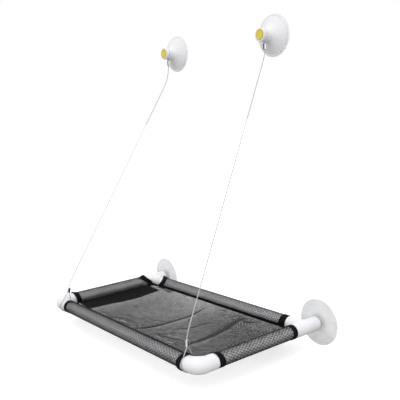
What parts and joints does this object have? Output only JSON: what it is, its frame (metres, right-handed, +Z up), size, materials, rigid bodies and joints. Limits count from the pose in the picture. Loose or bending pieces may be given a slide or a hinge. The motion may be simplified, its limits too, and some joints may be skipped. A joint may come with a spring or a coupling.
{
  "type": "cat window hammock",
  "caption": "Hammock bed for a cat: a pipe frame with a sagging mesh bed that stands off a window on suction cups and hangs from slanted steel cables.",
  "frame": {"origin": "on the glass, midway between the two lower suction cups and at the height of the pipe axes", "axes": "+X along the window and the long pipes, +Y towards the glass, +Z up"},
  "size_m": [0.613, 0.3234, 0.6522],
  "materials": {
    "white_pipe": "smooth satin pipe",
    "white_fitting": "smooth moulded fitting",
    "lower_cup_vinyl": "clear soft vinyl with faint rings",
    "upper_pad_vinyl": "clear soft vinyl",
    "cover_plastic": "smooth moulded cover",
    "knob_plastic": "smooth moulded knob",
    "hardware_steel": "plain zinc plated",
    "nut_brass": "turned",
    "disc_yellow": null,
    "cable_steel": "fine stranded wire rope",
    "ferrule_metal": "pressed sleeve",
    "sleeve_mesh": "coarse grey coated mesh",
    "bed_mesh": "open grey coated mesh",
    "black_binding": "black woven tape",
    "black_cloth": "black plain weave"
  },
  "bodies": {
    "window_hardware": {"left_lower_cup": "lower_cup_vinyl", "left_suction_pad": "upper_pad_vinyl", "left_cup_cover": "cover_plastic", "left_cup_stud": "hardware_steel", "left_cable": "cable_steel", "left_upper_ferrule": "ferrule_metal", "right_lower_cup": "lower_cup_vinyl", "right_suction_pad": "upper_pad_vinyl", "right_cup_cover": "cover_plastic", "right_cup_stud": "hardware_steel", "right_cable": "cable_steel", "right_upper_ferrule": "ferrule_metal"},
    "hammock_frame": {"front_rail": "white_pipe", "back_rail": "white_pipe", "left_side_rail": "white_pipe", "left_front_elbow": "white_fitting", "left_rear_tee": "white_fitting", "left_ball_plug": "white_fitting", "left_lower_ferrule": "ferrule_metal", "left_front_piping": "black_binding", "left_rear_piping": "black_binding", "right_side_rail": "white_pipe", "right_front_elbow": "white_fitting", "right_rear_tee": "white_fitting", "right_ball_plug": "white_fitting", "right_lower_ferrule": "ferrule_metal", "right_front_piping": "black_binding", "right_rear_piping": "black_binding", "front_sleeve": "sleeve_mesh", "front_binding_a": "black_binding", "front_binding_b": "black_binding", "back_sleeve": "sleeve_mesh", "back_binding_a": "black_binding", "back_binding_b": "black_binding", "left_sleeve": "sleeve_mesh", "left_binding_a": "black_binding", "left_binding_b": "black_binding", "right_sleeve": "sleeve_mesh", "right_binding_a": "black_binding", "right_binding_b": "black_binding", "front_seam_tape": "black_binding", "back_seam_tape": "black_binding", "bed_panel": "bed_mesh", "left_side_flap": "black_cloth"},
    "left_washer": {"left_knob_washer": "hardware_steel"},
    "right_washer": {"right_knob_washer": "hardware_steel"},
    "left_knob": {"left_knob": "knob_plastic", "left_knob_nut": "nut_brass", "left_knob_disc": "disc_yellow"},
    "right_knob": {"right_knob": "knob_plastic", "right_knob_nut": "nut_brass", "right_knob_disc": "disc_yellow"}
  },
  "joints": [
    {"name": "frame_fold", "type": "hinge", "parent": "window_hardware", "child": "hammock_frame", "pos_m": [0, -0.0175, 0], "axis": [-1, 0, 0], "range_deg": [0, 25], "deforming": ["left_cable", "right_cable"]},
    {"name": "left_knob_travel", "type": "slide", "parent": "window_hardware", "child": "left_washer", "axis": [0, -1, 0], "range_m": [0, 0.004]},
    {"name": "left_knob_turn", "type": "hinge", "parent": "left_washer", "child": "left_knob", "pos_m": [-0.16125, -0.0361, 0.5646], "axis": [0, -1, 0], "range_deg": [0, 720]},
    {"name": "right_knob_travel", "type": "slide", "parent": "window_hardware", "child": "right_washer", "axis": [0, -1, 0], "range_m": [0, 0.004]},
    {"name": "right_knob_turn", "type": "hinge", "parent": "right_washer", "child": "right_knob", "pos_m": [0.16125, -0.0361, 0.5646], "axis": [0, -1, 0], "range_deg": [0, 720]}
  ],
  "couplings": [
    {"joint": "left_knob_travel", "follows": "left_knob_turn", "m_per_rad": 0.0003183},
    {"joint": "right_knob_travel", "follows": "right_knob_turn", "m_per_rad": 0.0003183}
  ]
}
